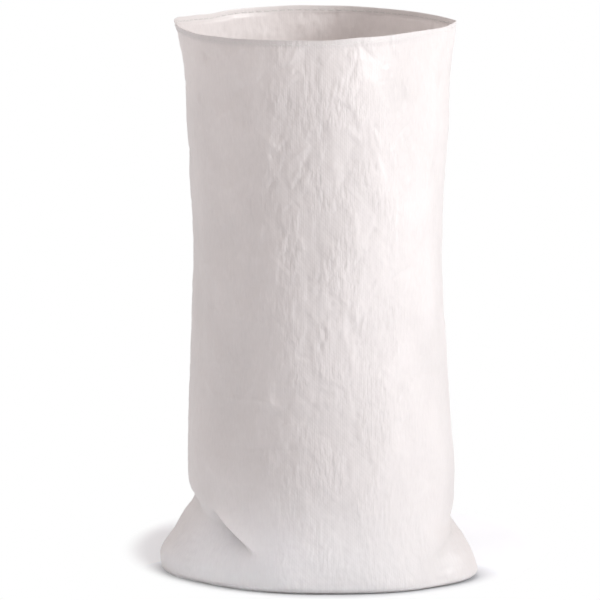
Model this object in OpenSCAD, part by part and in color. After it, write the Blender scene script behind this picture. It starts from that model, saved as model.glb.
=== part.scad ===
// Open-mouth woven sack, standing open and empty on its sewn bottom.
// +X runs across the sack, -Y is its front, +Z is up. The origin is on the floor, under the middle.

/* [Fabric] */
// Lay-flat width of the woven tube, which is half of its way round
flat_w = 600; // [500:5:720]
// Thickness of the fabric, with its coating and crumple
fabric = 0.5; // [0.4:0.1:0.8]

/* [Standing shape] */
// Height of the open mouth above the floor
stand_h = 835; // [690:5:1010]
// Width of the open mouth, from one side crease to the other
mouth_w = 418; // [345:1:505]
// Width of the waist, the narrowest level
waist_w = 366; // [305:1:440]
// Height of the waist
waist_z = 500; // [400:5:600]
// Width of the belly, where the ears begin
belly_w = 391; // [325:1:470]
// Height of the belly's widest level
belly_z = 200; // [165:5:240]
// Width across the two bottom ears
foot_w = 476; // [400:1:570]
// Height at which the ears leave the walls
ear_z = 115; // [95:1:140]
// Height of the ears' blunt ends
ear_end = 25; // [20:1:30]
// Height over which the round wall closes to a pointed one at the floor
foot_fade = 150; // [125:5:180]
// Height over which the round wall closes to a pointed one at the mouth
mouth_fade = 180; // [150:5:220]

/* [Mouth lips] */
// Width of each lip that folds in over the mouth
lip_w = 230; // [190:2:276]
// Height of each lip above its fold line
lip_h = 300; // [250:5:320]
// Room between a lip and the fabric beside it
lip_gap = 0.8; // [0.6:0.1:1.2]

/* [Mouth hem] */
// Height of the turned-in hem
hem_h = 10; // [8:1:14]
// Distance of the hem's stitches below the rim
hem_stitch_z = 6; // [5:0.5:7]

/* [Bottom seam] */
// Width of the turned-over seam fold under the base
fold_w = 25; // [20:1:30]
// Thickness of the turned-over seam fold
fold_t = 1; // [0.8:0.1:1.4]
// Length of each seam end that is tucked under
tuck_l = 62; // [50:1:75]
// Width of each tuck
tuck_w = 27; // [22:1:34]

/* [Sewing thread] */
// Thickness of the sewing thread
thread_d = 0.8; // [0.6:0.1:1]
// Length of one stitch
stitch = 12; // [10:0.5:15]
// Length of the thread that shows in one stitch
stitch_show = 9; // [7:0.5:9.5]

/* [Hidden] */

fabric_colour = [0.93, 0.92, 0.91];
hem_colour = [0.96, 0.95, 0.94];
thread_colour = [0.98, 0.98, 0.96];

fold_z = stand_h - lip_h;
// Half-width that the ears lose between their ends and the floor, and the shape of the mouth's flare
foot_taper = 4;
mouth_flare = 1.6;
// Room round the seam fold, above its upper thread and under the mouth's stitches
clear = 0.3;
thread_room = 0.1;
channel_z = thread_d + fold_t + thread_d + thread_room;
// How far the seam fold and the tucks stay inside the walls
seam_inset = 2 * fabric + 2;
// How far a cutting block reaches past what it cuts
over = 5;
// Tightest curve of the rim under a straight stitch, and the room that it needs
rim_radius = 90;
bulge = stitch_show * stitch_show / (8 * rim_radius);
// Unsewn lengths at the ends of a row of stitches on the mouth, at the side creases and on the seam
row_room = 2;
crease_angle = 1;
seam_room = 24;
least_depth = 10;
ear_half_angle = 32;
wall_cols = 28;
wall_rows = 14;
foot_rows = 7;
lip_cols = 16;
lip_rows = 8;
corner_cols = 14;
arc_steps = 36;
stitch_steps = 60;
thread_sides = 16;

function ease(t) = let (c = min(1, max(0, t))) c * c * (3 - 2 * c);
function blend(a, b, t) = a + (b - a) * t;

// Half of the sack's width at height z.
function half_width(z) =
    (z <= ear_end ? blend(foot_w - foot_taper, foot_w, z / ear_end)
    : z <= ear_z ? blend(foot_w, belly_w, ease((z - ear_end) / (ear_z - ear_end)))
    : z <= belly_z ? belly_w
    : z <= waist_z ? blend(belly_w, waist_w, ease((z - belly_z) / (waist_z - belly_z)))
    : blend(waist_w, mouth_w, pow((z - waist_z) / (stand_h - waist_z), mouth_flare))) / 2;

// The section at height z is (a cos t, b sin^m t): m = 1 is an oval, m = 2 two arcs that meet in points.
function point_power(z) =
    1 + max(1 - ease(z / foot_fade), ease((z - stand_h + mouth_fade) / mouth_fade));

function section_point(a, b, m, t) = [a * cos(t), sign(sin(t)) * b * pow(abs(sin(t)), m)];

// Length of a quarter of the section, by steps.
function quarter(a, b, m, i = 0, total = 0) =
    i == arc_steps ? total
    : let (p = section_point(a, b, m, 90 * i / arc_steps),
           q = section_point(a, b, m, 90 * (i + 1) / arc_steps))
      quarter(a, b, m, i + 1, total + norm(q - p));

// Half-depth that makes the way round twice the lay-flat width.
function solve_depth(a, m, low, high, n = 22) =
    n == 0 ? (low + high) / 2
    : let (mid = (low + high) / 2)
      quarter(a, mid, m) > flat_w / 2 ? solve_depth(a, m, low, mid, n - 1)
      : solve_depth(a, m, mid, high, n - 1);

// One level of the sack: [z, half-width, half-depth, power].
function level(z) =
    let (a = half_width(z), m = point_power(z)) [z, a, solve_depth(a, m, least_depth, flat_w / 2), m];

function levels(z0, z1, rows) = [for (i = [0:rows]) level(blend(z0, z1, i / rows))];

// A point on the level, at angle t, lying d inside the fabric's outer face.
function at(lv, t, d) = let (p = section_point(lv[1] - d, lv[2] - d, lv[3], t)) [p[0], p[1], lv[0]];

// The angle at which the level's face, d inside the outer one, is at x from the middle.
function angle_at(lv, x, d) = acos(x / (lv[1] - d));

// A sheet of fabric between two depths. from and to give its edges' angles on a level, at a depth.
module sheet(rows, cols, from, to, outer, inner) {
    n = cols + 1;
    count = len(rows) * n;
    points = [for (d = [outer, inner], lv = rows, i = [0:cols])
                  at(lv, blend(from(lv, d), to(lv, d), i / cols), d)];
    function id(side, r, c) = side * count + r * n + c;
    last = len(rows) - 1;
    function cell(side, r, c) =
        [id(side, r, c), id(side, r + 1, c), id(side, r + 1, c + 1), id(side, r, c + 1)];
    function turned(f) = [f[0], f[3], f[2], f[1]];
    function row_edge(r, c) = [id(0, r, c), id(0, r, c + 1), id(1, r, c + 1), id(1, r, c)];
    function side_edge(r, c) = [id(0, r, c), id(1, r, c), id(1, r + 1, c), id(0, r + 1, c)];
    cells = [
        for (r = [0:last - 1], c = [0:cols - 1]) cell(0, r, c),
        for (r = [0:last - 1], c = [0:cols - 1]) turned(cell(1, r, c)),
        for (c = [0:cols - 1]) row_edge(0, c),
        for (c = [0:cols - 1]) turned(row_edge(last, c)),
        for (r = [0:last - 1]) side_edge(r, 0),
        for (r = [0:last - 1]) turned(side_edge(r, cols))
    ];
    faces = [for (f = cells, half = [[f[0], f[1], f[2]], [f[0], f[2], f[3]]]) half];
    polyhedron(points, faces);
}

// Levels of each band of the sack. The lips' bodies start just above the walls they hinge on.
foot_levels = levels(fabric, ear_z, foot_rows);
wall_levels = levels(ear_z, fold_z, wall_rows);
mouth_levels = concat(levels(fold_z, stand_h - hem_h, lip_rows), [level(stand_h)]);
lip_levels = concat(levels(fold_z + lip_gap / 2, stand_h - hem_h, lip_rows), [level(stand_h)]);
hem_levels = [level(stand_h - hem_h), level(stand_h)];
floor_level = level(0);

lip_edge = lip_w / 2 - lip_gap / 2;
corner_edge = lip_w / 2 + lip_gap / 2;

module wall(side) {
    color(fabric_colour)
        sheet(wall_levels, wall_cols, function(lv, d) side, function(lv, d) side + 180, 0, fabric);
}

module skirt(side) {
    color(fabric_colour)
        sheet(foot_levels, wall_cols, function(lv, d) side + ear_half_angle,
              function(lv, d) side + 180 - ear_half_angle, 0, fabric);
}

module ear(side) {
    color(fabric_colour)
        sheet(foot_levels, corner_cols, function(lv, d) side - ear_half_angle,
              function(lv, d) side + ear_half_angle, 0, fabric);
}

module lip(side, rows, outer, inner, colour) {
    color(colour)
        sheet(rows, lip_cols, function(lv, d) side + angle_at(lv, lip_edge, d),
              function(lv, d) side + 180 - angle_at(lv, lip_edge, d), outer, inner);
}

module mouth_corner(side, rows, outer, inner, colour) {
    color(colour)
        sheet(rows, corner_cols, function(lv, d) side - angle_at(lv, corner_edge, d),
              function(lv, d) side + angle_at(lv, corner_edge, d), outer, inner);
}

module front_wall() { wall(180); }
module back_wall() { wall(0); }
module front_skirt() { skirt(180); }
module back_skirt() { skirt(0); }
module left_ear() { ear(180); }
module right_ear() { ear(0); }
module left_mouth_corner() { mouth_corner(180, mouth_levels, 0, fabric, fabric_colour); }
module right_mouth_corner() { mouth_corner(0, mouth_levels, 0, fabric, fabric_colour); }
module front_lip() { lip(180, lip_levels, 0, fabric, fabric_colour); }
module back_lip() { lip(0, lip_levels, 0, fabric, fabric_colour); }
module front_lip_hem() { lip(180, hem_levels, fabric, 2 * fabric, hem_colour); }
module back_lip_hem() { lip(0, hem_levels, fabric, 2 * fabric, hem_colour); }
module left_mouth_hem() { mouth_corner(180, hem_levels, fabric, 2 * fabric, hem_colour); }
module right_mouth_hem() { mouth_corner(0, hem_levels, fabric, 2 * fabric, hem_colour); }

// One stitch: a straight run of thread from p to q.
module thread_run(p, q) {
    run = q - p;
    translate(p)
        rotate([0, acos(run[2] / norm(run)), atan2(run[1], run[0])])
            cylinder(h = norm(run), d = thread_d, $fn = thread_sides);
}

// Stitches on the outside of the mouth, between two angles, a whole number at about the stitch length.
module mouth_stitches(from, to) {
    out = -thread_d / 2 - thread_room;
    places = [for (i = [0:stitch_steps]) at(stitch_level, blend(from, to, i / stitch_steps), out)];
    gaps = [for (i = [0:stitch_steps - 1]) norm(places[i + 1] - places[i])];
    ways = [for (i = 0, s = 0; i <= stitch_steps; s = s + (i < stitch_steps ? gaps[i] : 0), i = i + 1)
                [s, blend(from, to, i / stitch_steps)]];
    total = ways[stitch_steps][0];
    count = floor((total - row_room) / stitch);
    start = (total - count * stitch + stitch - stitch_show) / 2;
    color(thread_colour)
        for (k = [0:count - 1])
            let (t0 = lookup(start + k * stitch, ways),
                 t1 = lookup(start + k * stitch + stitch_show, ways))
                thread_run(at(stitch_level, t0, out - bulge), at(stitch_level, t1, out - bulge));
}

stitch_level = level(stand_h - hem_stitch_z);
lip_angle = angle_at(stitch_level, lip_edge, 0);
corner_angle = angle_at(stitch_level, corner_edge, 0);

module front_lip_thread() { mouth_stitches(180 + lip_angle, 360 - lip_angle); }
module back_lip_thread() { mouth_stitches(lip_angle, 180 - lip_angle); }

module left_mouth_thread() {
    mouth_stitches(180 - corner_angle, 180 - crease_angle);
    mouth_stitches(180 + crease_angle, 180 + corner_angle);
}

module right_mouth_thread() {
    mouth_stitches(crease_angle, corner_angle);
    mouth_stitches(-corner_angle, -crease_angle);
}

// The sack's outline on the floor, d inside the fabric's outer face.
module floor_outline(d) {
    polygon([for (i = [0:2 * wall_cols - 1])
                 let (p = at(floor_level, 180 * i / wall_cols, d)) [p[0], p[1]]]);
}

// A box on the floor, from one corner to the other.
module block(x0, x1, y0, y1, z0, z1) {
    translate([x0, y0, z0]) cube([x1 - x0, y1 - y0, z1 - z0]);
}

// Everything within the walls, d inside the seam's own margin, from below the floor to z.
module inside(d, z) {
    translate([0, 0, -over]) linear_extrude(z + over) floor_outline(seam_inset + d);
}

// The space that the seam fold and both tucks take, grown by d all round and filled up to z.
module seam_space(d, z) {
    intersection() {
        inside(-d, z);
        union() {
            block(-foot_w / 2, foot_w / 2, -fold_w - d, d, -over, z);
            block(-foot_w / 2, -foot_w / 2 + tuck_l + d, -d, tuck_w + d, -over, z);
            block(foot_w / 2 - tuck_l - d, foot_w / 2, -d, tuck_w + d, -over, z);
        }
    }
}

// Floor fabric that lies flat and steps up over the seam fold and the tucks.
module base_sheet() {
    difference() {
        union() {
            linear_extrude(fabric) floor_outline(0);
            seam_space(clear + fabric, channel_z + fabric);
        }
        seam_space(clear, channel_z);
        translate([0, 0, -over]) linear_extrude(over) floor_outline(-over);
    }
}

module base_half(low, high) {
    color(fabric_colour)
        intersection() {
            base_sheet();
            block(-foot_w, foot_w, low, high, -over, channel_z + fabric + over);
        }
}

module base_front_panel() { base_half(-flat_w, 0); }
module base_back_panel() { base_half(0, flat_w); }

module bottom_seam_fold() {
    color(hem_colour)
        intersection() {
            translate([0, 0, thread_d]) linear_extrude(fold_t) floor_outline(seam_inset);
            block(-foot_w / 2, foot_w / 2, -fold_w, 0, thread_d, thread_d + fold_t);
        }
}

module corner_tuck(x0, x1) {
    color(hem_colour)
        intersection() {
            translate([0, 0, thread_d]) linear_extrude(fold_t) floor_outline(seam_inset);
            block(x0, x1, 0, tuck_w, thread_d, thread_d + fold_t);
        }
}

module left_corner_tuck() { corner_tuck(-foot_w / 2, -foot_w / 2 + tuck_l); }
module right_corner_tuck() { corner_tuck(foot_w / 2 - tuck_l, foot_w / 2); }

// Stitches along the middle of the seam fold, at height z.
module seam_stitches(z) {
    reach = foot_w / 2 - seam_room;
    count = floor(2 * reach / stitch);
    color(thread_colour)
        for (k = [0:count - 1])
            let (x = (k - (count - 1) / 2) * stitch - stitch_show / 2)
                thread_run([x, -fold_w / 2, z], [x + stitch_show, -fold_w / 2, z]);
}

module bottom_needle_thread() { seam_stitches(thread_d / 2); }
module bottom_looper_thread() { seam_stitches(thread_d + fold_t + thread_d / 2); }

front_wall();
back_wall();
front_skirt();
back_skirt();
left_ear();
right_ear();
left_mouth_corner();
right_mouth_corner();
front_lip();
back_lip();
front_lip_hem();
back_lip_hem();
left_mouth_hem();
right_mouth_hem();
front_lip_thread();
back_lip_thread();
left_mouth_thread();
right_mouth_thread();
base_front_panel();
base_back_panel();
bottom_seam_fold();
left_corner_tuck();
right_corner_tuck();
bottom_needle_thread();
bottom_looper_thread();
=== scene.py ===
"""An open woven polypropylene sack, standing empty on its sewn bottom.

The fabric is one tube. Its shape is a loft: above the part that leans in to the floor, every level is
as long round as the tube is. Then it is simulated as cloth, creased, cut into four quarters and made
into thin closed shells.
Lengths are in metres. u runs round the tube from the left side crease, across the front first, and v up it.
"""
import math

import bpy
import numpy as np
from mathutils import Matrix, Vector


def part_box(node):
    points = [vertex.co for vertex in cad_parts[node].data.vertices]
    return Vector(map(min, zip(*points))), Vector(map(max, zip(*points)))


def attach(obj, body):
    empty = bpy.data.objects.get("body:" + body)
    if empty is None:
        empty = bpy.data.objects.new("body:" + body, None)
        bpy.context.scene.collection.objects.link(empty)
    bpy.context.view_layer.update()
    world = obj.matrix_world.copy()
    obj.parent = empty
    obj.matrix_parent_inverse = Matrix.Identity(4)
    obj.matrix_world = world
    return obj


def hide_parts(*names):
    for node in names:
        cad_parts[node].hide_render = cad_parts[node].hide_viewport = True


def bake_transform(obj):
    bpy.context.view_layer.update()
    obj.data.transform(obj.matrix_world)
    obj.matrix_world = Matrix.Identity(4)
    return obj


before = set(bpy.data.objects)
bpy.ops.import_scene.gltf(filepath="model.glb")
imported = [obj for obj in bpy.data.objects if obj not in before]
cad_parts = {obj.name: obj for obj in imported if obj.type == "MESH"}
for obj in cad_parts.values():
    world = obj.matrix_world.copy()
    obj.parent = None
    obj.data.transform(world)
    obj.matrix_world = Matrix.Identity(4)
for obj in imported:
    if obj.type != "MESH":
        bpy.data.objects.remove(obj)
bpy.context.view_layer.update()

MM = 0.001

# ---------------------------------------------------------------- camera

VIEW_WIDTH = 0.8948
VIEW_DISTANCE = 12.0
VIEW_ELEVATION = math.radians(10.6)
VIEW_CENTRE = Vector((-0.0293, 0.0, 0.4143))
SENSOR_WIDTH = 36.0
CLIP = (0.5, 200.0)


def make_camera():
    """A long lens, a little above the sack, looking along +Y."""
    data = bpy.data.cameras.new("camera")
    data.sensor_width = SENSOR_WIDTH
    data.lens = data.sensor_width * VIEW_DISTANCE / VIEW_WIDTH
    data.clip_start, data.clip_end = CLIP
    camera = bpy.data.objects.new("camera", data)
    back = Vector((0.0, -math.cos(VIEW_ELEVATION), math.sin(VIEW_ELEVATION)))
    camera.location = VIEW_CENTRE + back * VIEW_DISTANCE
    camera.rotation_mode = "QUATERNION"
    camera.rotation_quaternion = (-back).to_track_quat("-Z", "Y")
    bpy.context.scene.collection.objects.link(camera)
    bpy.context.scene.camera = camera


make_camera()

# ---------------------------------------------------------------- sizes

FLAT_WIDTH = 0.600
GIRTH = 2 * FLAT_WIDTH
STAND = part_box("front_lip")[1].z
HEM = 10 * MM
THICKNESS = 0.4 * MM
# Height that the fabric's outer face keeps above the floor, and radius of its turn from wall to base.
FLOOR_GAP = 0.3 * MM
FLOOR_RADIUS = 12 * MM
# How far the seam lifts the base, how far from the seam it does so, and over what width that fades.
SEAM_LIFT = 2.9 * MM
SEAM_REACH = 0.026
SEAM_FADE = 0.020
# Half of the room between the base's two halves, and the seam's length as a share of the floor's width.
SEAM_ROOM = 0.6 * MM
SEAM_SHARE = 0.985
# Half-width by which the turn at the floor is scaled.
HALF_WIDTH = 0.2
# One stitch, the length of it that shows, its thread, and its row's distance below the rim.
STITCH = 12 * MM
STITCH_SHOWS = 9 * MM
THREAD_RADIUS = 0.4 * MM
STITCH_BELOW_RIM = 6 * MM

# Grid of the finished fabric: columns round the tube, rows up the wall, and rows from the seam to the wall.
COLS = 480
WALL_ROWS = 334
BASE_ROWS = 36
QUARTER = COLS // 4
# The columns where the front and the back are cut into quarters. They stand on x = 0 exactly.
# The fabric slides along with them over the reach.
CUTS = [QUARTER, 3 * QUARTER]
CUT_REACH = QUARTER / 4

# Half-width of the sack on each side, as (height, half-width) in millimetres.
LEFT_SIDE = [(0, 232), (10, 236), (30, 239), (66, 218), (104, 196), (119, 188), (135, 193),
             (150, 195.5), (215, 196), (300, 194), (430, 189.5), (500, 188), (590, 193), (690, 199),
             (770, 204), (800, 210), (835, 216)]
RIGHT_SIDE = [(0, 230), (8, 236), (18, 234), (40, 225), (60, 213), (75, 202), (88, 196), (110, 200),
              (150, 202), (215, 196), (300, 190), (412, 183), (526, 180), (613, 185), (676, 190),
              (772, 195), (835, 202)]
# Half-width that the round part of the fabric keeps under the belly, between the two ears, the height
# below which it does, the height over which that sets in, and where across it the ears' tips begin.
BODY = [(0, 214), (40, 211), (110, 202), (200, 196), (835, 196)]
BODY_BELOW = 0.200
BODY_FADE = 0.040
TIP_FROM = 0.80
# How pointed the level is on each side, as (height, power): 1 is an oval, 2 is two arcs that meet in
# points.
LEFT_POINT = [(0, 1.05), (40, 1.1), (90, 1.15), (130, 1.08), (200, 1.0), (700, 1.0), (835, 1.1)]
RIGHT_POINT = [(0, 1.0), (40, 1.05), (90, 1.1), (130, 1.05), (200, 1.0), (560, 1.0), (650, 1.08),
               (740, 1.25), (800, 1.5), (835, 1.7)]
# Depth of the floor in front of the seam and behind it, the height below which the walls lean in to it,
# and how suddenly they do.
FLOOR_DEPTH = 0.165
FLOOR_DEPTH_BACK = 0.128
LEAN_HEIGHT = 0.260
LEAN_POWER = 1.8
# How far the right ear's end stands in front of the seam's line, how far from the middle that end is,
# and the height over which the swing fades.
EAR_FORWARD = 0.030
EAR_REACH = 0.235
EAR_FADE = 0.150


def smooth_curve(stations, z):
    """Cubic curve through (height, value) stations in millimetres, with limited slopes, at z metres."""
    x = np.array([s[0] for s in stations], float) * MM
    y = np.array([s[1] for s in stations], float)
    gaps = np.diff(x)
    rise = np.diff(y) / gaps
    slope = np.zeros(len(x))
    inner = rise[:-1] * rise[1:] > 0
    mean = np.where(inner, 2 * rise[:-1] * rise[1:] / np.where(inner, rise[:-1] + rise[1:], 1), 0)
    slope[1:-1] = mean
    slope[0], slope[-1] = rise[0], rise[-1]
    k = np.clip(np.searchsorted(x, z) - 1, 0, len(gaps) - 1)
    t = np.clip((z - x[k]) / gaps[k], 0, 1)
    h = gaps[k]
    return ((1 + 2 * t) * (1 - t) ** 2 * y[k] + t * (1 - t) ** 2 * h * slope[k]
            + t * t * (3 - 2 * t) * y[k + 1] + t * t * (t - 1) * h * slope[k + 1])


def ease(t):
    """0 below 0, 1 above 1, smooth between."""
    t = np.clip(t, 0, 1)
    return t * t * (3 - 2 * t)


# ---------------------------------------------------------------- loft

# Steps along the front half of a level, the range in which its depth is looked for, and how finely.
STEPS = 720
TURN = np.linspace(0, math.pi, STEPS + 1)
DEPTH_RANGE = (0.02, 0.32)
HALVINGS = 30


def front_arc(left, right, depth, powers, body=None):
    """The front half of a level from its left point to its right, as x and y. Where body is given,
    the middle keeps that half-width, and only the tips reach left and right."""
    c = np.cos(TURN)
    x = -np.where(c > 0, left, right) * c
    if body is not None:
        tip = ease((np.abs(c) - TIP_FROM) / (1 - TIP_FROM))
        x = -c * (body * (1 - tip) + np.where(c > 0, left, right) * tip)
    y = -depth * np.maximum(np.sin(TURN), 0) ** np.where(c > 0, powers[0], powers[1])
    return x, y


def arc_length(x, y):
    """The way along a line in the plane."""
    return np.concatenate([[0], np.cumsum(np.hypot(np.diff(x), np.diff(y)))])


def path_length(p):
    """The way along a path of points in space."""
    return np.concatenate([[0], np.cumsum(np.linalg.norm(np.diff(p, axis=0), axis=1))])


def solve_depth(left, right, powers):
    """The half-depth at which the level is as long round as the tube."""
    low, high = DEPTH_RANGE
    for _ in range(HALVINGS):
        mid = (low + high) / 2
        if arc_length(*front_arc(left, right, mid, powers))[-1] > FLAT_WIDTH:
            high = mid
        else:
            low = mid
    return (low + high) / 2


def level_depth(z):
    """The half-depth of the level at height z."""
    left, right = smooth_curve(LEFT_SIDE, z) * MM, smooth_curve(RIGHT_SIDE, z) * MM
    return solve_depth(left, right, (smooth_curve(LEFT_POINT, z), smooth_curve(RIGHT_POINT, z)))


def level_points(z, cols):
    """Points round the level at height z, front first, as x and y, evenly spaced in each quarter."""
    left, right = smooth_curve(LEFT_SIDE, z) * MM, smooth_curve(RIGHT_SIDE, z) * MM
    powers = (smooth_curve(LEFT_POINT, z), smooth_curve(RIGHT_POINT, z))
    if z < LEAN_HEIGHT:
        above = level_depth(LEAN_HEIGHT)
        lean = (1 - z / LEAN_HEIGHT) ** LEAN_POWER
        depth = above + (FLOOR_DEPTH - above) * lean
        back = (above + (FLOOR_DEPTH_BACK - above) * lean) / depth
    else:
        depth, back = solve_depth(left, right, powers), 1.0
    body = None
    if z < BODY_BELOW:
        kept = smooth_curve(BODY, z) * MM
        own = (left + right) / 2
        body = own + (kept - own) * ease((BODY_BELOW - z) / BODY_FADE)
    x, y = front_arc(left, right, depth, powers, body)
    s = arc_length(x, y)
    middle = np.interp(0, x, s)
    at = np.concatenate([np.linspace(0, middle, cols // 4 + 1)[:-1],
                         np.linspace(middle, s[-1], cols // 4 + 1)])
    xs, ys = np.interp(at, s, x), np.interp(at, s, y)
    return (np.concatenate([xs[:-1], xs[::-1][:-1]]),
            np.concatenate([ys[:-1], -back * ys[::-1][:-1]]))


def swing_ear(points):
    """Moves the right ear's end forward, and less so the higher up."""
    share = ease(points[..., 0] / EAR_REACH) * (1 - ease(points[..., 2] / EAR_FADE))
    points[..., 1] -= EAR_FORWARD * share
    return points


def loft(cols, wall_rows, base_rows):
    """Grid of points [row, col, xyz]: base rows from the seam outwards, then wall rows up to the rim."""
    heights = np.linspace(0, STAND, wall_rows + 1)
    wall = np.zeros((wall_rows + 1, cols, 3))
    for r, z in enumerate(heights):
        x, y = level_points(z, cols)
        wall[r, :, 0], wall[r, :, 1], wall[r, :, 2] = x, y, z
    turned = heights < FLOOR_RADIUS
    for r in np.nonzero(turned)[0]:
        rise = 1 - heights[r] / FLOOR_RADIUS
        inset = FLOOR_RADIUS * (1 - math.sqrt(max(0, 1 - rise * rise)))
        wall[r, :, :2] *= 1 - inset / HALF_WIDTH
    share = np.linspace(0, 1, base_rows + 1)[:-1]
    base = np.zeros((base_rows, cols, 3))
    rim = wall[0]
    for r, s in enumerate(share):
        base[r, :, 0] = rim[:, 0] * (SEAM_SHARE + (1 - SEAM_SHARE) * s)
        base[r, :, 1] = rim[:, 1] * s + np.sign(rim[:, 1]) * (1 - s) * SEAM_ROOM
    near = 1 - ease((np.abs(base[:, :, 1]) - SEAM_REACH) / SEAM_FADE)
    base[:, :, 2] = FLOOR_GAP + SEAM_LIFT * near
    wall[0, :, 2] = FLOOR_GAP
    return swing_ear(np.concatenate([base, wall]))


# ---------------------------------------------------------------- noise and creases on the grid


def round_noise(u, v, cell_u, cell_v, rng):
    """Smooth noise from -1 to 1 that closes round the tube. u and v are arrays in metres."""
    nu = max(2, round(GIRTH / cell_u))
    nv = int(math.ceil(v.max() / cell_v)) + 3
    values = rng.uniform(-1, 1, (nv, nu))
    a, b = (u / GIRTH % 1.0) * nu, v / cell_v + 0.5
    i, j = np.floor(a).astype(int), np.floor(b).astype(int)
    s, t = ease(a - i), ease(b - j)
    i, k = i % nu, (i + 1) % nu
    low = values[j, i] * (1 - s) + values[j, k] * s
    high = values[j + 1, i] * (1 - s) + values[j + 1, k] * s
    return low * (1 - t) + high * t


# How many of its widths a crease reaches to each side.
CREASE_TAIL = 4


def crease(field, u, v, centre, angle, length, width, height, below=None):
    """Adds one ridge (or, with a negative height, valley) to the field, which tapers off at both ends.
    Where below is given, it is the width on the right-hand side of the crease's own direction."""
    below = width if below is None else below
    du, dv = GIRTH / u.shape[1], v[-1, 0] / (v.shape[0] - 1)
    reach = length / 2 + CREASE_TAIL * max(width, below)
    rows = np.arange(max(0, int((centre[1] - reach) / dv)),
                     min(v.shape[0], int((centre[1] + reach) / dv) + 2))
    cols = np.arange(int((centre[0] - reach) / du), int((centre[0] + reach) / du) + 2)
    if not len(rows):
        return
    x = cols[None, :] * du - centre[0]
    y = v[rows, 0][:, None] - centre[1]
    along = x * math.cos(angle) + y * math.sin(angle)
    across = -x * math.sin(angle) + y * math.cos(angle)
    taper = np.clip(1 - (2 * along / length) ** 2, 0, 1) ** 1.5
    shape = np.exp(-np.abs(across) / np.where(across > 0, width, below))
    field[rows[:, None], cols[None, :] % u.shape[1]] += height * taper * shape


def stroke(field, u, v, start, end, width, height, below):
    """One crease from start to end, each (u, height)."""
    du, dv = end[0] - start[0], end[1] - start[1]
    centre = ((start[0] + end[0]) / 2, (start[1] + end[1]) / 2)
    crease(field, u, v, centre, math.atan2(dv, du), math.hypot(du, dv), width, height, below)


def normals_of(points):
    """Unit normals of the grid, which closes round the tube, pointing out of the sack."""
    across = np.roll(points, -1, axis=1) - np.roll(points, 1, axis=1)
    up = np.gradient(points, axis=0)
    n = np.cross(across, up)
    return n / np.maximum(np.linalg.norm(n, axis=2, keepdims=True), 1e-12)


# ---------------------------------------------------------------- cloth

# The coarser grid that is simulated, for how many frames, and the most that a point may move.
SIM_COLS = 200
SIM_WALL = 140
SIM_BASE = 14
SIM_FRAMES = 24
SIM_CAP = 9 * MM
# The fabric is cut this much wider and longer than its shape.
CUT_WIDER, CUT_LONGER = 1.010, 1.014
# How firmly the wall, its rim and its foot keep their places, and how high the last two bands are.
HOLD_WALL, HOLD_RIM, HOLD_FOOT = 0.10, 0.75, 0.5
RIM_BAND, FOOT_BAND = 0.035, 0.020


def grid_mesh(name, points):
    """A mesh of the closed grid."""
    rows, cols = points.shape[:2]
    ids = np.arange(rows * cols).reshape(rows, cols)
    a, b = ids[:-1], np.roll(ids, -1, axis=1)[:-1]
    c, d = np.roll(ids, -1, axis=1)[1:], ids[1:]
    faces = np.stack([a, b, c, d], axis=-1).reshape(-1, 4)
    mesh = bpy.data.meshes.new(name)
    mesh.from_pydata(points.reshape(-1, 3).tolist(), [], faces.tolist())
    obj = bpy.data.objects.new(name, mesh)
    bpy.context.scene.collection.objects.link(obj)
    return obj


def settle(points, rows_base):
    """How far each point of the grid moves when the fabric, cut a little too long, settles."""
    rows, cols = points.shape[:2]
    obj = grid_mesh("settling", points)
    obj.shape_key_add(name="Basis")
    rest = obj.shape_key_add(name="cut")
    longer = points.copy()
    longer[:, :, :2] *= CUT_WIDER
    longer[:, :, 2] *= CUT_LONGER
    rest.data.foreach_set("co", longer.reshape(-1).astype(np.float32))
    rest.value = 0.0
    heights = points[:, :, 2]
    hold = HOLD_WALL + HOLD_RIM * ease((heights - STAND + RIM_BAND) / RIM_BAND)
    hold = np.maximum(hold, HOLD_FOOT * (1 - ease(heights / FOOT_BAND)))
    hold[:rows_base] = 1.0
    group = obj.vertex_groups.new(name="hold")
    flat = hold.reshape(-1)
    for share in np.unique(np.round(flat, 2)):
        group.add(np.nonzero(np.round(flat, 2) == share)[0].tolist(), float(share), "REPLACE")
    cloth = obj.modifiers.new("cloth", "CLOTH")
    s = cloth.settings
    s.quality = 6
    s.mass = 0.0006
    s.tension_stiffness = s.compression_stiffness = 30
    s.shear_stiffness = 12
    s.bending_stiffness = 0.02
    s.tension_damping = s.compression_damping = 8
    s.shear_damping = 5
    s.bending_damping = 0.3
    s.air_damping = 2
    s.vertex_group_mass = "hold"
    s.pin_stiffness = 0.6
    s.rest_shape_key = rest
    cloth.collision_settings.use_collision = False
    cloth.collision_settings.use_self_collision = False
    cloth.point_cache.frame_start = 1
    cloth.point_cache.frame_end = SIM_FRAMES
    scene = bpy.context.scene
    for f in range(1, SIM_FRAMES + 1):
        scene.frame_set(f)
    dg = bpy.context.evaluated_depsgraph_get()
    moved = np.zeros(rows * cols * 3, np.float32)
    obj.evaluated_get(dg).data.vertices.foreach_get("co", moved)
    scene.frame_set(1)
    mesh = obj.data
    bpy.data.objects.remove(obj)
    bpy.data.meshes.remove(mesh)
    shift = moved.reshape(rows, cols, 3) - points
    size = np.linalg.norm(shift, axis=2, keepdims=True)
    return shift * np.minimum(1, SIM_CAP / np.maximum(size, 1e-9))


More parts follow.
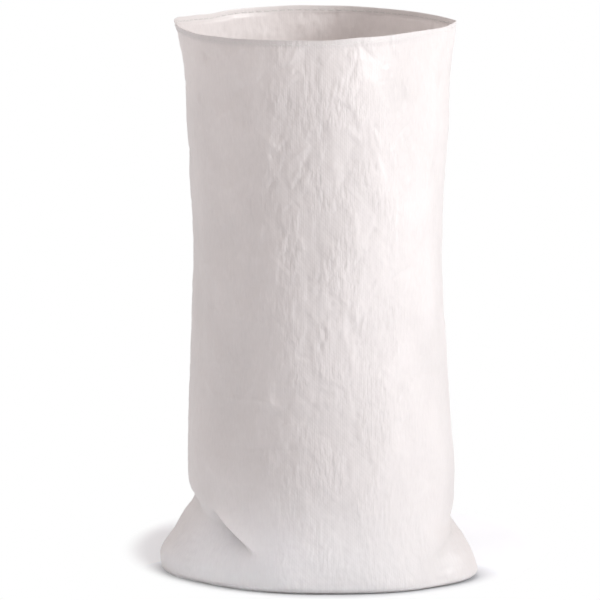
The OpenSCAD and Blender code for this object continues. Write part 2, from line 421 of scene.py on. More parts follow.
def resample(grid, rows, cols):
    """The grid's values, closed round the tube, on a finer grid, by Catmull-Rom curves."""
    r0, c0 = grid.shape[:2]
    a, b = np.linspace(0, r0 - 1, rows), np.arange(cols) / cols * c0

    def weights(t):
        return [((-t + 2) * t - 1) * t / 2, ((3 * t - 5) * t * t + 2) / 2,
                ((-3 * t + 4) * t + 1) * t / 2, (t - 1) * t * t / 2]

    i, t = np.floor(a).astype(int), a - np.floor(a)
    lines = sum(w[:, None, None] * grid[np.clip(i + k - 1, 0, r0 - 1)]
                for k, w in enumerate(weights(t)))
    j, s = np.floor(b).astype(int), b - np.floor(b)
    return sum(w[None, :, None] * lines[:, (j + k - 1) % c0] for k, w in enumerate(weights(s)))


# ---------------------------------------------------------------- the fabric's surface


# Soft unevenness, as (cell round, cell up, height in millimetres).
BUMPS = [(0.16, 0.22, 2.6), (0.07, 0.10, 1.6), (0.035, 0.055, 0.9), (0.014, 0.026, 0.42)]
SMALL_CREASES, LARGE_CREASES, LEVEL_CREASES = 3200, 620, 26
STEEP_ANGLES = [1.57, 1.35, -1.35, 1.1, -1.1, 0.8, -0.8]
SLANT_ANGLES = [0.7, -0.7, 1.35, -1.35]
# The middle of the front, round the tube, and how far its stronger creases reach.
FRONT_MIDDLE, FRONT_REACH = 0.31, 0.17
# The creases' strength, and what the middle of the front adds to it.
STRENGTH, FRONT_STRENGTH = 0.8, 0.5
# Share of the creases' strength that is left at the floor, and where it grows to full and over what height.
CALM_LOW, CALM_FROM, CALM_OVER = 0.45, 0.12, 0.25
# Share of the relief that goes in the hem, from how far below it, and over what height.
CALM_HEM, HEM_FROM, HEM_OVER = 0.85, 0.004, 0.006
# Share of the relief that the hem can't calm.
RELIEF_KEPT = 0.12


def crumple(u, v):
    """The fabric's relief in metres, outwards positive, on the wall's grid."""
    rng = np.random.default_rng(11)
    field = np.zeros(u.shape)
    front = np.exp(-(((u - FRONT_MIDDLE) / FRONT_REACH) ** 2))
    calm_low = CALM_LOW + (1 - CALM_LOW) * ease((v - CALM_FROM) / CALM_OVER)
    calm_hem = 1 - CALM_HEM * ease((v - (STAND - HEM - HEM_FROM)) / HEM_OVER)
    for cell_u, cell_v, size in BUMPS:
        field += round_noise(u, v, cell_u, cell_v, rng) * size * MM
    folds = np.zeros(u.shape)
    for _ in range(SMALL_CREASES):
        centre = (rng.uniform(0, GIRTH), rng.uniform(0.02, STAND))
        angle = rng.choice(STEEP_ANGLES) + rng.normal(0, 0.15)
        length = rng.uniform(0.009, 0.032)
        height = rng.choice([-1, 1]) * rng.uniform(0.2, 0.85) * MM
        crease(folds, u, v, centre, angle, length, rng.uniform(1.3, 3.0) * MM, height)
    for _ in range(LARGE_CREASES):
        centre = (rng.uniform(0, GIRTH), rng.uniform(0.05, STAND))
        angle = rng.choice(SLANT_ANGLES) + rng.normal(0, 0.25)
        width = rng.uniform(2.5, 5.0) * MM
        crease(folds, u, v, centre, angle, rng.uniform(0.03, 0.08), width,
               rng.choice([-1, 1]) * rng.uniform(0.45, 1.35) * MM, width * rng.uniform(1.4, 3.0))
    for _ in range(LEVEL_CREASES):
        centre = (rng.uniform(0, GIRTH), rng.uniform(0.2, 0.5))
        crease(folds, u, v, centre, rng.normal(0, 0.08), rng.uniform(0.08, 0.2), rng.uniform(2, 4) * MM,
               rng.choice([-1, 1]) * rng.uniform(0.2, 0.5) * MM)
    strength = (STRENGTH + FRONT_STRENGTH * front) * calm_low
    return (field + folds * strength) * (RELIEF_KEPT + (1 - RELIEF_KEPT) * calm_hem)


# The folds that give this sack its look: (start, end, width, height, width of the other side), with the
# ends as (u, v) and the rest in millimetres. A valley's height is negative.
FOLDS = [
    # the left ear: its root, the dart and the dart's edge
    ((-0.03, 0.136), (0.150, 0.092), 10, -5.0, 16),
    ((0.106, 0.119), (0.202, 0.053), 4.5, -17.0, 16),
    ((0.104, 0.129), (0.214, 0.053), 24, 7.0, 3),
    ((0.112, 0.125), (0.212, 0.056), 3.5, 2.2, 2.5),
    # the right ear: its root and two short lines
    ((0.44, 0.030), (0.63, 0.100), 12, -4.5, 26),
    ((0.59, 0.058), (0.47, 0.040), 5, -1.3, 5),
    ((0.59, 0.034), (0.46, 0.024), 4, -1.0, 4),
    # both ears from behind
    ((1.225, 0.120), (1.03, 0.046), 8, -6.0, 20),
    ((0.575, 0.104), (0.75, 0.044), 20, -5.0, 8),
    # the dents in the left side
    ((-0.03, 0.650), (0.06, 0.632), 7, -2.6, 7),
    ((-0.03, 0.740), (0.05, 0.752), 6, -1.6, 6),
    # the belly's level lines
    ((0.10, 0.292), (0.35, 0.298), 3, 0.9, 3),
    ((0.42, 0.330), (0.56, 0.318), 3, -0.9, 3),
    ((0.43, 0.345), (0.56, 0.352), 3, 0.7, 3),
    ((0.12, 0.218), (0.33, 0.226), 4, -0.8, 4),
]
PUCKERS = 90
PUCKER_WIDTH = 1.2 * MM
# The tight gathers in the middle of the front: how many, where they begin, and how far apart they are.
GATHERS, GATHERS_FROM, GATHER_STEP = 10, 0.33, 0.004
GATHER_LENGTH, GATHER_HEIGHT = 0.020, 0.5 * MM
# How far the puckers and gathers lie below the hem.
PUCKER_DROP, GATHER_DROP = 0.006, 0.010
# How far the hem stands out, over what height it does, and how wide the groove of its stitches is.
HEM_STEP, HEM_STEP_OVER = 0.35 * MM, 1.0 * MM
GROOVE_WIDTH = 0.9 * MM


def folds_by_hand(u, v):
    """The folds above, the hem's puckers, its step and the groove of its stitches."""
    field = np.zeros(u.shape)
    for start, end, width, height, below in FOLDS:
        stroke(field, u, v, start, end, width * MM, height * MM, below * MM)
    rng = np.random.default_rng(5)
    under_hem = STAND - HEM
    for _ in range(PUCKERS):
        place = rng.uniform(0, GIRTH)
        centre = (place, under_hem - PUCKER_DROP - rng.uniform(0, PUCKER_DROP))
        crease(field, u, v, centre, math.pi / 2 + rng.normal(0, 0.15), rng.uniform(0.010, 0.022),
               PUCKER_WIDTH, -rng.uniform(0.15, 0.5) * MM)
    for k in range(GATHERS):
        centre = (GATHERS_FROM + GATHER_STEP * k, under_hem - GATHER_DROP)
        crease(field, u, v, centre, math.pi / 2 + rng.normal(0, 0.1), GATHER_LENGTH, PUCKER_WIDTH,
               (-1) ** k * GATHER_HEIGHT)
    hem = ease((v - under_hem) / HEM_STEP_OVER)
    groove = np.exp(-(((v - (STAND - STITCH_BELOW_RIM)) / GROOVE_WIDTH) ** 2))
    return field + HEM_STEP * hem - HEM_STEP * groove


# Where the rim stands above or below its own level, as (u, millimetres).
RIM = [(0.0, 1.0), (0.05, -3.0), (0.10, -5.5), (0.19, -3.5), (0.30, -1.8), (0.36, 0.6), (0.47, -0.4),
       (0.56, -3.5), (0.60, -0.5), (0.66, -1.5), (0.72, -2.0), (0.80, -4.5), (0.95, -4.5), (1.03, -4.5),
       (1.075, -7.5), (1.13, -4.0), (1.165, 0.0), (1.20, 1.0)]
# The rim's unevenness: cell round the tube and height in millimetres. The noise doesn't change upwards.
RIM_CELL, RIM_NOISE = 0.045, 0.5
SAME_UPWARDS = 5.0
# Height over which the wall follows its rim, and over which the relief begins at the floor.
RIM_FADE = 0.060
RELIEF_FADE = 0.012
# Depth at which a fold's valley shows its full painted shade, and the most that a ridge is painted lighter
# as a painted highlight, as its share.
PAINTED_SHADE_DEPTH = 12 * MM
RIDGE_PAINTED_HIGHLIGHT = 0.35


def rim_height(u):
    """How far the rim stands above its level, with a little unevenness."""
    place, rise = np.array(RIM).T
    t = np.interp(u, place, rise)
    rng = np.random.default_rng(3)
    noise = round_noise(u, np.zeros_like(u) + 0.01, RIM_CELL, SAME_UPWARDS, rng)
    return (t + RIM_NOISE * noise) * MM


def centre_cuts(points):
    """Slides the fabric sideways so that both cuts stand on x = 0."""
    for cut in CUTS:
        share = 1 - ease(np.abs(np.arange(COLS) - cut) / CUT_REACH)
        points[:, :, 0] -= points[:, cut, 0].copy()[:, None] * share[None, :]
    return points


def fabric_surface():
    """The finished outer face of the fabric as a grid, with each row's v and each point's painted shading:
    painted shade in fold valleys, painted highlight on ridges.
    """
    points = loft(COLS, WALL_ROWS, BASE_ROWS)
    coarse = loft(SIM_COLS, SIM_WALL, SIM_BASE)
    shift = settle(coarse, SIM_BASE)
    fine_base = resample(shift[:SIM_BASE + 1], BASE_ROWS + 1, COLS)
    fine_wall = resample(shift[SIM_BASE:], WALL_ROWS + 1, COLS)
    points[:BASE_ROWS] += fine_base[:-1]
    points[BASE_ROWS:] += fine_wall
    out = normals_of(points)
    wall = slice(BASE_ROWS, None)
    heights = np.linspace(0, STAND, WALL_ROWS + 1)
    u, v = np.meshgrid(np.arange(COLS) / COLS * GIRTH, heights)
    relief = crumple(u, v) + folds_by_hand(u, v)
    relief *= ease(v / RELIEF_FADE)
    points[wall] += out[wall] * relief[:, :, None]
    points[wall][:, :, 2] += rim_height(u) * ease((v - STAND + RIM_FADE) / RIM_FADE)
    points[:, :, 2] = np.maximum(points[:, :, 2], FLOOR_GAP)
    points = centre_cuts(points)
    cloth_v = np.concatenate([-np.linspace(FLOOR_DEPTH, 0, BASE_ROWS + 1)[:-1], heights])
    # Painted shade and highlight: the deeper a point lies in a fold's valley, the darker the fabric is
    # painted, and ridges are painted lighter.
    painted_fold_shading = np.clip(-relief / PAINTED_SHADE_DEPTH, -RIDGE_PAINTED_HIGHLIGHT, 1.0)
    painted_fold_shading = np.concatenate([np.zeros((BASE_ROWS, COLS)), painted_fold_shading])
    return points, cloth_v, painted_fold_shading


# Angle from which an edge of a shell shows as an edge.
SHARP_ANGLE = math.radians(60)


def shell(name, outer, inner, uv, painted_fold_shading=None):
    """A thin closed shell between two open grids of points. Its weave attribute is u, v and whether the
    point is on the inner side. Its attribute for painted shading, where given, is how deep in a fold each
    point lies, below zero on ridges: painted shade in valleys, painted highlight on ridges."""
    rows, cols = outer.shape[:2]
    count = rows * cols
    ids = np.arange(count).reshape(rows, cols)

    def quads(g, flip):
        q = np.stack([g[:-1, :-1], g[:-1, 1:], g[1:, 1:], g[1:, :-1]], axis=-1).reshape(-1, 4)
        return q[:, ::-1] if flip else q

    rim = np.concatenate([ids[0, :], ids[1:, -1], ids[-1, -2::-1], ids[-2:0:-1, 0]])
    after = np.roll(rim, -1)
    side = np.stack([after, rim, rim + count, after + count], axis=-1)
    faces = np.concatenate([quads(ids, False), quads(ids + count, True), side])
    mesh = bpy.data.meshes.new(name)
    both = np.concatenate([outer.reshape(-1, 3), inner.reshape(-1, 3)])
    mesh.from_pydata(both.tolist(), [], faces.tolist())
    mesh.shade_smooth()
    mesh.set_sharp_from_angle(angle=SHARP_ANGLE)
    weave = mesh.attributes.new("weave", "FLOAT_VECTOR", "POINT")
    flat = np.zeros((2 * count, 3), np.float32)
    flat[:count, :2] = uv.reshape(-1, 2)
    flat[count:, :2] = uv.reshape(-1, 2)
    flat[count:, 2] = 1.0
    weave.data.foreach_set("vector", flat.reshape(-1))
    if painted_fold_shading is not None:
        # Painted shade in fold valleys and painted highlight on ridges, kept for the material.
        tone = mesh.attributes.new("painted_fold_shading", "FLOAT", "POINT")
        tone.data.foreach_set("value", np.tile(painted_fold_shading.reshape(-1), 2).astype(np.float32))
    mesh.update()
    obj = bpy.data.objects.new(name, mesh)
    bpy.context.scene.collection.objects.link(obj)
    return obj


# ---------------------------------------------------------------- materials


class Nodes:
    """Short names for building a material's node tree."""

    def __init__(self, name):
        self.material = bpy.data.materials.new(name)
        self.material.use_nodes = True
        self.tree = self.material.node_tree
        self.shader = self.tree.nodes["Principled BSDF"]

    def add(self, kind, **inputs):
        """A node of the kind. Each value goes to the input of that name, or else to the node's setting."""
        node = self.tree.nodes.new("ShaderNode" + kind)
        for key, value in inputs.items():
            if key in node.inputs:
                self.put(node.inputs[key], value)
            else:
                setattr(node, key, value)
        return node

    def put(self, socket, value):
        """Links a socket to the input, or sets the input to a number or a colour."""
        if isinstance(value, bpy.types.NodeSocket):
            self.tree.links.new(value, socket)
        else:
            socket.default_value = value

    def math(self, operation, a, b=None):
        node = self.tree.nodes.new("ShaderNodeMath")
        node.operation = operation
        for socket, value in zip(node.inputs, (a, b)):
            if value is not None:
                self.put(socket, value)
        return node.outputs[0]

    def times(self, a, b):
        return self.math("MULTIPLY", a, b)

    def plus(self, a, b):
        return self.math("ADD", a, b)

    def minus(self, a, b):
        return self.math("SUBTRACT", a, b)

    def clamped(self, a, b):
        """a times b, kept from 0 to 1."""
        value = self.times(a, b)
        value.node.use_clamp = True
        return value

    def noise(self, u, v, per_u, per_v, detail, roughness=0.5):
        """Noise over the cloth, with this many cells to a metre round it and up it."""
        place = self.add("CombineXYZ", X=self.times(u, per_u), Y=self.times(v, per_v))
        node = self.add("TexNoise", Vector=place.outputs[0], Scale=1.0, Detail=detail, Roughness=roughness)
        return node.outputs["Fac"]

    def mix(self, share, a, b):
        node = self.tree.nodes.new("ShaderNodeMix")
        node.data_type = "RGBA"
        self.put(node.inputs[0], share)
        self.put(node.inputs[6], a)
        self.put(node.inputs[7], b)
        return node.outputs[2]


# Width of one woven tape, and the cells to a metre of each noise: one tape's streaks, the dashes of
# loose tapes, the patches where tapes are loose, and the broad tone.
TAPE = 3.2 * MM
STREAK_CELLS = (1 / TAPE, 70.0)
DASH_CELLS = (0.55 / TAPE, 52.0)
PATCH_CELLS = (22.0, 13.0)
BROAD_CELLS = (14.0, 9.0)
FABRIC_LIGHT, FABRIC_DARK = (0.86, 0.845, 0.845, 1), (0.76, 0.745, 0.745, 1)
HEM_LIGHT, HEM_DARK = (0.88, 0.865, 0.865, 1), (0.80, 0.785, 0.785, 1)
WEAVE_HEIGHT, HEM_WEAVE_HEIGHT = 0.35 * MM, 0.25 * MM
# How much lighter the inner side is painted, as painted light for what comes through the fabric,
# how much darker a fold's valley is painted, as painted shade, and how much calmer the inner relief.
INSIDE_PAINTED_LIGHTER, PAINTED_SHADE_DARKER, INSIDE_CALMER = 0.09, 0.24, 0.6
# The light that comes through the fabric: its colour and its share.
THROUGH_COLOUR = (0.93, 0.87, 0.84, 1)
THROUGH_SHARE = 0.28
SHEEN, SHEEN_ROUGHNESS = 0.12, 0.4
COAT, COAT_ROUGHNESS = 0.40, 0.38
ROUGHNESS, ROUGHNESS_RANGE = 0.36, 0.16


def woven_material(name, colour, dark, weave_height):
    """Satin woven tape: upright tapes that each differ a little, crossed by level ones, in fine relief,
    with dashes where tapes are loose, painted shade in the folds' valleys and painted highlight on their
    ridges, and a calmer inner side that is painted lighter as painted light for what comes through it."""
    n = Nodes(name)
    place = n.add("Attribute", attribute_name="weave").outputs["Vector"]
    split = n.add("SeparateXYZ", Vector=place)
    u, v, inside = split.outputs
    warp = n.math("SINE", n.times(u, math.pi / TAPE))
    weft = n.math("SINE", n.times(v, math.pi / TAPE))
    streak = n.noise(u, v, *STREAK_CELLS, 3.0, 0.6)
    dash = n.noise(u, v, *DASH_CELLS, 1.0, 0.4)
    patch = n.noise(u, v, *PATCH_CELLS, 1.5)
    broad = n.noise(u, v, *BROAD_CELLS, 2.0)
    loose = n.clamped(n.minus(patch, 0.43), 6.0)
    strands = n.plus(n.times(streak, 1.8), n.times(dash, 4.6))
    relief = n.plus(n.times(n.math("ABSOLUTE", warp), 0.30), n.times(n.times(warp, weft), 0.15))
    relief = n.plus(relief, n.times(strands, n.plus(0.22, n.times(loose, 1.1))))
    relief = n.times(relief, n.minus(1.0, n.times(inside, INSIDE_CALMER)))
    bump = n.add("Bump", Strength=0.8, Distance=weave_height, Height=relief)
    tone = n.plus(n.times(streak, 0.75), n.times(broad, 0.35))
    ramp = n.clamped(n.minus(tone, 0.25), 1.7)
    # Painted shade in fold valleys and painted highlight on ridges, from the fabric's relief.
    painted_fold_shading = n.add("Attribute", attribute_name="painted_fold_shading").outputs["Fac"]
    # Painted light: the inner side is painted lighter, fold valleys darker as painted shade and ridges
    # lighter as painted highlight.
    shade = n.minus(n.plus(1.0, n.times(inside, INSIDE_PAINTED_LIGHTER)), n.times(painted_fold_shading, PAINTED_SHADE_DARKER))
    shaded = n.add("VectorMath", operation="SCALE")
    n.put(shaded.inputs[0], n.mix(ramp, dark, colour))
    n.put(shaded.inputs["Scale"], shade)
    shader = n.shader.inputs
    n.put(shader["Base Color"], shaded.outputs[0])
    n.put(shader["Roughness"], n.plus(ROUGHNESS, n.times(streak, ROUGHNESS_RANGE)))
    n.put(shader["Normal"], bump.outputs[0])
    shader["Sheen Weight"].default_value = SHEEN
    shader["Sheen Roughness"].default_value = SHEEN_ROUGHNESS
    shader["Coat Weight"].default_value = COAT
    shader["Coat Roughness"].default_value = COAT_ROUGHNESS
    through = n.add("BsdfTranslucent", Color=THROUGH_COLOUR)
    both = n.add("MixShader")
    both.inputs[0].default_value = THROUGH_SHARE
    n.put(both.inputs[1], n.shader.outputs[0])
    n.put(both.inputs[2], through.outputs[0])
    n.put(n.tree.nodes["Material Output"].inputs["Surface"], both.outputs[0])
    return n.material


THREAD_DARK, THREAD_LIGHT = (0.70, 0.70, 0.68, 1), (0.88, 0.88, 0.86, 1)
TWIST_SCALE = 420.0
TWIST_DEPTH = 0.2 * MM


def thread_material():
    """Spun sewing thread with its twist."""
    n = Nodes("sewing_thread")
    place = n.add("TexCoord").outputs["Object"]
    twist = n.add("TexWave", Vector=place, Scale=TWIST_SCALE, Distortion=1.5, Detail=2.0)
    bump = n.add("Bump", Strength=0.6, Distance=TWIST_DEPTH, Height=twist.outputs["Fac"])
    n.put(n.shader.inputs["Base Color"], n.mix(twist.outputs["Fac"], THREAD_DARK, THREAD_LIGHT))
    n.shader.inputs["Roughness"].default_value = 0.8
    n.put(n.shader.inputs["Normal"], bump.outputs[0])
    return n.material


# ---------------------------------------------------------------- pieces

# The quarters, in their order round the tube: name, face and side.
QUARTERS = [("front_left", "front", "left"), ("front_right", "front", "right"),
            ("back_right", "back", "right"), ("back_left", "back", "left")]
BODY_NODES = {
    "front": ["front_wall", "front_skirt", "front_lip", "base_front_panel"],
    "back": ["back_wall", "back_skirt", "back_lip", "base_back_panel"],
}
SIDE_NODES = {"left": ["left_ear", "left_mouth_corner"], "right": ["right_ear", "right_mouth_corner"]}


def bend_with_lip(obj):
    """Bakes the piece's placement into its mesh."""
    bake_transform(obj)


def finish_piece(obj, nodes):
    """Bakes the piece's placement into its mesh and hides the model's nodes that it stands for."""
    bend_with_lip(obj)
    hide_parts(*nodes)


def cloth_round():
    """u of each column, with the first one again at the end."""
    return np.arange(COLS + 1) / COLS * GIRTH


def make_quarters(points, out, cloth_v, painted_fold_shading, fabric):
    """The sack's fabric, from the seam under it to the rim, in four pieces."""
    inner = points - out * THICKNESS
    inner[:, :, 2] = np.maximum(inner[:, :, 2], 0.0)
    inner[:, CUTS, 0] = 0
    for k, (name, face, side) in enumerate(QUARTERS):
        cols = np.arange(k * QUARTER, (k + 1) * QUARTER + 1)
        u, v = np.meshgrid(cloth_round()[cols], cloth_v)
        round_cols = cols % COLS
        obj = shell("sack_" + name, points[:, round_cols], inner[:, round_cols],
                    np.stack([u, v], axis=-1), painted_fold_shading[:, round_cols])
        obj.data.materials.append(fabric)
        finish_piece(obj, BODY_NODES[face] + SIDE_NODES[side])


# Rows of the grid in the hem, and the room between it and the wall.
HEM_ROWS = 5
HEM_GAP = 0.06 * MM
# Angles of the hem's turn over the rim, and how thick it is there, in thicknesses from the middle.
HEM_TURN = [30, 65, 100, 135, 170]
HEM_TURN_THICKNESS = 1.4


def make_hems(points, out, fabric):
    """The turned-in mouth hem, one strip a quarter: it comes over the rim and lies against the inside."""
    in_hem = [r for r in range(BASE_ROWS, points.shape[0]) if points[r, 0, 2] > STAND - HEM - 2 * MM]
    top = points[-1]
    normal = out[-2]
    up = np.zeros_like(normal)
    up[:, 2] = 1.0
    lines, faces_in = [], []
    for r in in_hem[-HEM_ROWS:]:
        lines.append(points[r] - out[r] * (THICKNESS + HEM_GAP))
        faces_in.append(points[r] - out[r] * (2 * THICKNESS + HEM_GAP))
    middle = top - normal * THICKNESS / 2
    for angle in np.radians(HEM_TURN):
        direction = -normal * math.cos(angle) + up * math.sin(angle)
        lines.append(middle + direction * (THICKNESS / 2 + HEM_GAP))
        faces_in.append(middle + direction * (HEM_TURN_THICKNESS * THICKNESS + HEM_GAP))
    lines, faces_in = np.array(lines), np.array(faces_in)
    lines[:, CUTS, 0] = faces_in[:, CUTS, 0] = 0
    cloth_v = STAND + HEM - np.linspace(0, HEM, len(lines))
    for k, (name, face, side) in enumerate(QUARTERS):
        cols = np.arange(k * QUARTER, (k + 1) * QUARTER + 1)
        u, v = np.meshgrid(cloth_round()[cols], cloth_v)
        round_cols = cols % COLS
        obj = shell("hem_" + name, lines[:, round_cols], faces_in[:, round_cols],
                    np.stack([u, v], axis=-1))
        obj.data.materials.append(fabric)
        finish_piece(obj, [face + "_lip_hem", side + "_mouth_hem"])


# Sides of a thread's section, and its radius at its ends, as a share.
TUBE_SIDES = 6
TUBE_END = 0.55


def tube(verts, faces, path, radius):
    """Adds a closed tube along the path to the lists."""
    sides = TUBE_SIDES
    path = np.array(path)
    along = np.gradient(path, axis=0)
    along /= np.linalg.norm(along, axis=1, keepdims=True)
    first = len(verts)
    for p, t, share in zip(path, along, np.linspace(0, 1, len(path))):
        a = np.cross(t, (0, 0, 1.0)) if abs(t[2]) < 0.9 else np.cross(t, (1.0, 0, 0))
        a /= np.linalg.norm(a)
        b = np.cross(t, a)
        r = radius * (TUBE_END if share in (0.0, 1.0) else 1.0)
        verts += [p + r * (a * math.cos(w) + b * math.sin(w))
                  for w in np.arange(sides) * 2 * math.pi / sides]
    for k in range(len(path) - 1):
        o = first + k * sides
        faces += [[o + i, o + (i + 1) % sides, o + sides + (i + 1) % sides, o + sides + i]
                  for i in range(sides)]
    faces += [[first + i for i in reversed(range(sides))],
              [first + (len(path) - 1) * sides + i for i in range(sides)]]


def mesh_piece(name, verts, faces, material):
    """One object of the points and faces."""
    mesh = bpy.data.meshes.new(name)
    mesh.from_pydata([tuple(v) for v in verts], [], faces)
    mesh.shade_smooth()
    mesh.materials.append(material)
    obj = bpy.data.objects.new(name, mesh)
    bpy.context.scene.collection.objects.link(obj)
    return obj


# Points of a stitch on the mouth.
STITCH_POINTS = 7
# How deep a stitch's ends go in, how far it stands out, and how far apart the looper's two runs are.
STITCH_DIP = 0.5 * MM * np.array([1, 0.25, 0, 0, 0, 0.25, 1])[:, None]
STITCH_STANDS = 0.3
LOOPER_HALF_GAP = 0.45 * MM
LOOPER_RADIUS = 0.8 * THREAD_RADIUS


def make_hem_threads(points, out, material):
    """A row of stitches round the mouth: long runs outside, and the looper's double runs inside."""
    dv = STAND / WALL_ROWS
    row = points.shape[0] - 1 - STITCH_BELOW_RIM / dv
    r0, t = int(row), row - int(row)
    line = points[r0] * (1 - t) + points[r0 + 1] * t
    normal = out[r0]
    for k, (name, face, side) in enumerate(QUARTERS):
        cols = np.arange(k * QUARTER, (k + 1) * QUARTER + 1) % COLS
        place, away = line[cols], normal[cols]
        s = path_length(place)
        verts, faces = [], []
        count = int(s[-1] / STITCH)
        for i in range(count):
            start = (i + 0.5) * s[-1] / count - STITCH_SHOWS / 2
            at = np.linspace(start, start + STITCH_SHOWS, STITCH_POINTS)
            p = np.stack([np.interp(at, s, place[:, c]) for c in range(3)], axis=-1)
            q = np.stack([np.interp(at, s, away[:, c]) for c in range(3)], axis=-1)
            tube(verts, faces, p + q * (THREAD_RADIUS * STITCH_STANDS - STITCH_DIP), THREAD_RADIUS)
            inside = -(2 * THICKNESS + THREAD_RADIUS)
            for lift in (-LOOPER_HALF_GAP, LOOPER_HALF_GAP):
                tube(verts, faces, p + q * inside + np.array([0, 0, lift]), LOOPER_RADIUS)
        obj = mesh_piece("hem_thread_" + name, verts, faces, material)
        finish_piece(obj, [face + "_lip_thread", side + "_mouth_thread"])


# Width of the seam fold and how far out it ends, width of the tucks and how far out they begin.
FOLD = 25 * MM
FOLD_END = 0.222
TUCK = 27 * MM
TUCK_FROM = 0.176
# Heights of a fold's two layers above the floor.
LAYERS = (1.6 * MM, 1.0 * MM)
# Waves of a fold's far edge: height, angle to a metre, and start.
EDGE_WAVES = [(0.5 * MM, 61.0, 0.0), (0.3 * MM, 143.0, 1.0)]
# Distance of a fold's cut edges from the seam, its points across each layer and round the bend, and the
# length of its cells along the seam.
SEAM_EDGE = 0.5 * MM
LAYER_POINTS, BEND_POINTS = 14, 7
STRIP_STEP, LEAST_CELLS = 2.5 * MM, 24


def folded_strip(name, x_range, width, side, node, material):
    """Two layers of fabric under the base, folded over at the far edge: the turned-up end of the tube.
    side is -1 for a strip in front of the seam and 1 for one behind it."""
    upper, lower = LAYERS
    radius = (upper - lower) / 2
    far = width - radius - THICKNESS / 2
    flat = np.linspace(SEAM_EDGE, far, LAYER_POINTS)
    bend = np.linspace(math.pi / 2, -math.pi / 2, BEND_POINTS)[1:-1]
    across = np.concatenate([flat, far + radius * np.cos(bend), flat[::-1]])
    turn = (upper + lower) / 2 + radius * np.sin(bend)
    height = np.concatenate([flat * 0 + upper, turn, flat * 0 + lower])
    long = abs(x_range[1] - x_range[0])
    x = np.linspace(*x_range, max(LEAST_CELLS, int(long / STRIP_STEP)))
    grid = np.zeros((len(across), len(x), 3))
    grid[:, :, 0] = x[None, :]
    wave = sum(size * np.sin(x * turns + begin) for size, turns, begin in EDGE_WAVES)
    grid[:, :, 1] = side * (across[:, None] + (wave * (across / far)[:, None]))
    grid[:, :, 2] = height[:, None]
    grid = swing_ear(grid)
    down = np.gradient(grid, axis=0)
    along = np.gradient(grid, axis=1)
    normal = np.cross(down, along)
    normal /= np.linalg.norm(normal, axis=2, keepdims=True)
    half = normal * THICKNESS / 2
    reach = np.concatenate([[0], np.cumsum(np.hypot(np.diff(across), np.diff(height)))])
    v, u = np.meshgrid(reach, x, indexing="ij")
    obj = shell(name, grid + half, grid - half, np.stack([u, v], axis=-1))
    obj.data.materials.append(material)
    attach(obj, "sack")
    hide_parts(node)


# The two rows of stitches in the seam: name, node, height above the floor, and sway to the side.
BOTTOM_ROWS = [("bottom_needle_stitches", "bottom_needle_thread", 0.42 * MM, 0.0),
               ("bottom_looper_stitches", "bottom_looper_thread", 2.15 * MM, 0.7 * MM)]
# Length of the seam's ends that has no stitches, and points of a stitch.
BOTTOM_UNSEWN = 8 * MM
BOTTOM_POINTS = 9


def make_bottom(fabric, thread):
    """The seam under the base: the turned fold, the two ends tucked back, and both of its threads."""
    folded_strip("bottom_fold", (-FOLD_END, FOLD_END), FOLD, -1, "bottom_seam_fold", fabric)
    folded_strip("corner_tuck_left", (-FOLD_END, -TUCK_FROM), TUCK, 1, "left_corner_tuck", fabric)
    folded_strip("corner_tuck_right", (TUCK_FROM, FOLD_END), TUCK, 1, "right_corner_tuck", fabric)
    count = int(2 * (FOLD_END - BOTTOM_UNSEWN) / STITCH)
    middle = -FOLD / 2
    at = np.linspace(0, 1, BOTTOM_POINTS)
    for name, node, height, sway in BOTTOM_ROWS:
        verts, faces = [], []
        for k in range(count):
            start = (k - count / 2) * STITCH
            path = np.zeros((BOTTOM_POINTS, 3))
            path[:, 0] = start + (STITCH - STITCH_SHOWS) / 2 + at * STITCH_SHOWS
            path[:, 1] = middle + sway * np.sin(at * 2 * math.pi)
            path[:, 2] = height
            tube(verts, faces, swing_ear(path), THREAD_RADIUS)
        obj = mesh_piece(name, verts, faces, thread)
        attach(obj, "sack")
        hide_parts(node)


FLOOR_SIZE = 160.0
FLOOR_COLOUR = (0.90, 0.93, 0.97, 1)
# The floor's colour close under the sack, which is a painted contact shadow, and how far from it that
# reaches.
CONTACT_SHADOW_COLOUR = (0.46, 0.47, 0.49, 1)
CONTACT_REACH = 0.045
# The floor's own light, for what the camera and reflections see.
FLOOR_GLOW = 0.13
# The oval in which the shadow is kept, and where in it the floor begins and ends to turn white.
SHADOW_CENTRE = (0.02, 0.16, 0)
SHADOW_REACH = (0.33, 0.37, 1)
SHADOW_FADE = (0.84, 0.975)


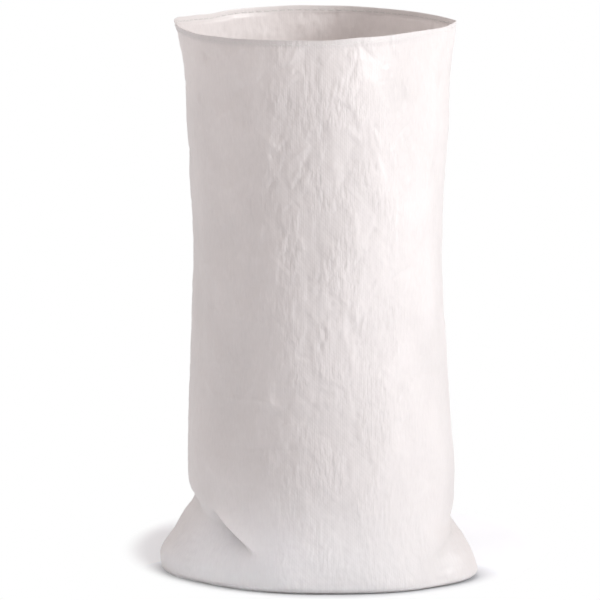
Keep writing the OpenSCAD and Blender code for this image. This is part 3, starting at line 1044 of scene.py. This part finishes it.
def make_floor():
    """A wide pale floor that shows white, and keeps the shadow near the sack, with a painted contact shadow
    close under it.
    """
    bpy.ops.mesh.primitive_plane_add(size=FLOOR_SIZE, location=(0, 0, 0))
    floor = bpy.context.active_object
    floor.name = "floor"
    n = Nodes("floor")
    shader = n.shader.inputs
    shader["Roughness"].default_value = 1.0
    shader["Specular IOR Level"].default_value = 0.0
    shader["Emission Color"].default_value = (1, 1, 1, 1)
    path = n.add("LightPath")
    seen = n.math("MAXIMUM", path.outputs["Is Camera Ray"], path.outputs["Is Glossy Ray"])
    # Painted contact shadow: the floor's colour and its glow darken where ambient occlusion finds the sack
    # close by.
    close = n.add("AmbientOcclusion", Distance=CONTACT_REACH).outputs["AO"]
    clear_of_contact_shadow = n.math("POWER", close, 2.0)
    n.put(shader["Base Color"], n.mix(clear_of_contact_shadow, CONTACT_SHADOW_COLOUR, FLOOR_COLOUR))
    n.put(shader["Emission Strength"], n.times(seen, n.times(clear_of_contact_shadow, FLOOR_GLOW)))
    centred = n.add("VectorMath", operation="SUBTRACT")
    n.put(centred.inputs[0], n.add("TexCoord").outputs["Object"])
    centred.inputs[1].default_value = SHADOW_CENTRE
    scaled = n.add("VectorMath", operation="DIVIDE")
    n.put(scaled.inputs[0], centred.outputs[0])
    scaled.inputs[1].default_value = SHADOW_REACH
    away = n.add("VectorMath", operation="LENGTH")
    n.put(away.inputs[0], scaled.outputs[0])
    fade = n.add("MapRange", interpolation_type="SMOOTHSTEP")
    for socket, value in zip(("Value", "From Min", "From Max"), (away.outputs["Value"], *SHADOW_FADE)):
        n.put(fade.inputs[socket], value)
    white = n.add("Emission", Color=(1, 1, 1, 1), Strength=1.0)
    both = n.add("MixShader")
    n.put(both.inputs[0], n.times(fade.outputs["Result"], seen))
    n.put(both.inputs[1], n.shader.outputs[0])
    n.put(both.inputs[2], white.outputs[0])
    n.put(n.tree.nodes["Material Output"].inputs["Surface"], both.outputs[0])
    floor.data.materials.append(n.material)


# Each light's name, place, target, size, watts, colour and spread in degrees: a soft key from the right,
# a weak fill from the left, a weak cool strip at the foot and a weak light from behind.
LIGHTS = [
    ("key", (3.02, -1.50, 1.9), (0, 0, 0.45), (1.2, 1.2), 103, (1.0, 0.995, 1.0), 180),
    ("fill", (-3.1, -1.0, 2.0), (0, 0, 0.4), (0.8, 0.8), 14, (1.0, 0.95, 0.94), 180),
    ("low", (-0.7, -1.5, 0.10), (-0.05, -0.1, 0.01), (0.8, 0.10), 0.12, (0.82, 0.93, 1.0), 12),
    ("back", (-2.3, 2.5, 1.8), (0, 0, 0.45), (1.6, 1.6), 12, (1.0, 0.98, 0.97), 180),
]
WORLD_COLOUR = (0.570, 0.520, 0.503, 1)


def area_light(name, place, target, size, power, colour, spread):
    """One rectangular light that the camera can't see."""
    data = bpy.data.lights.new(name, "AREA")
    data.shape = "RECTANGLE"
    data.size, data.size_y = size
    data.energy = power
    data.color = colour
    data.spread = math.radians(spread)
    light = bpy.data.objects.new(name, data)
    light.location = place
    light.rotation_mode = "QUATERNION"
    light.rotation_quaternion = (Vector(target) - Vector(place)).to_track_quat("-Z", "Y")
    light.visible_camera = False
    bpy.context.scene.collection.objects.link(light)


def make_lights():
    """The lights above, and a warm grey world that the camera sees as white."""
    for light in LIGHTS:
        area_light(*light)
    world = bpy.data.worlds.new("world")
    world.use_nodes = True
    tree = world.node_tree
    background = tree.nodes["Background"]
    path = tree.nodes.new("ShaderNodeLightPath")
    mix = tree.nodes.new("ShaderNodeMix")
    mix.data_type = "RGBA"
    tree.links.new(path.outputs["Is Camera Ray"], mix.inputs[0])
    mix.inputs[6].default_value = WORLD_COLOUR
    mix.inputs[7].default_value = (1, 1, 1, 1)
    tree.links.new(mix.outputs[2], background.inputs["Color"])
    bpy.context.scene.world = world


# ---------------------------------------------------------------- build

make_floor()
make_lights()
points, cloth_v, painted_fold_shading = fabric_surface()
out = normals_of(points)
fabric = woven_material("woven_fabric", FABRIC_LIGHT, FABRIC_DARK, WEAVE_HEIGHT)
make_quarters(points, out, cloth_v, painted_fold_shading, fabric)
hem_fabric = woven_material("hem_fabric", HEM_LIGHT, HEM_DARK, HEM_WEAVE_HEIGHT)
make_hems(points, out, hem_fabric)
thread = thread_material()
make_hem_threads(points, out, thread)
make_bottom(hem_fabric, thread)
bpy.context.scene.view_settings.view_transform = "Standard"
